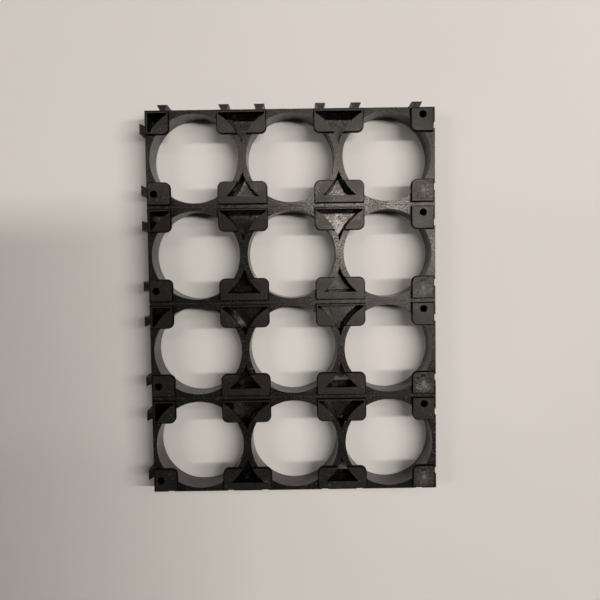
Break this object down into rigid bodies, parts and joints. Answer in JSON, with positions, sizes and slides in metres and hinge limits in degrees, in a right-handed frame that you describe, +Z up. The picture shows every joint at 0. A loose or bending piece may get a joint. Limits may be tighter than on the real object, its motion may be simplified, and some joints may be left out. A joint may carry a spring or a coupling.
{
  "type": "battery cell holder bracket",
  "caption": "Flat open holder for upright round battery cells, made of moulded strips with corner stop tabs, locked edge to edge by dovetails.",
  "frame": {"origin": "middle of the outer box, on the underside", "axes": "+Z up, from the underside to the tabs; +Y across the strips towards the back dovetails; +X along a strip, away from the left dovetails"},
  "size_m": [0.0618, 0.082, 0.0078],
  "materials": {
    "moulded_plastic": "black ABS, fine matt moulded skin with a slight sheen"
  },
  "bodies": {
    "root": {"cell_strip_1": "moulded_plastic", "cell_strip_2": "moulded_plastic", "cell_strip_3": "moulded_plastic", "cell_strip_4": "moulded_plastic"}
  },
  "joints": []
}
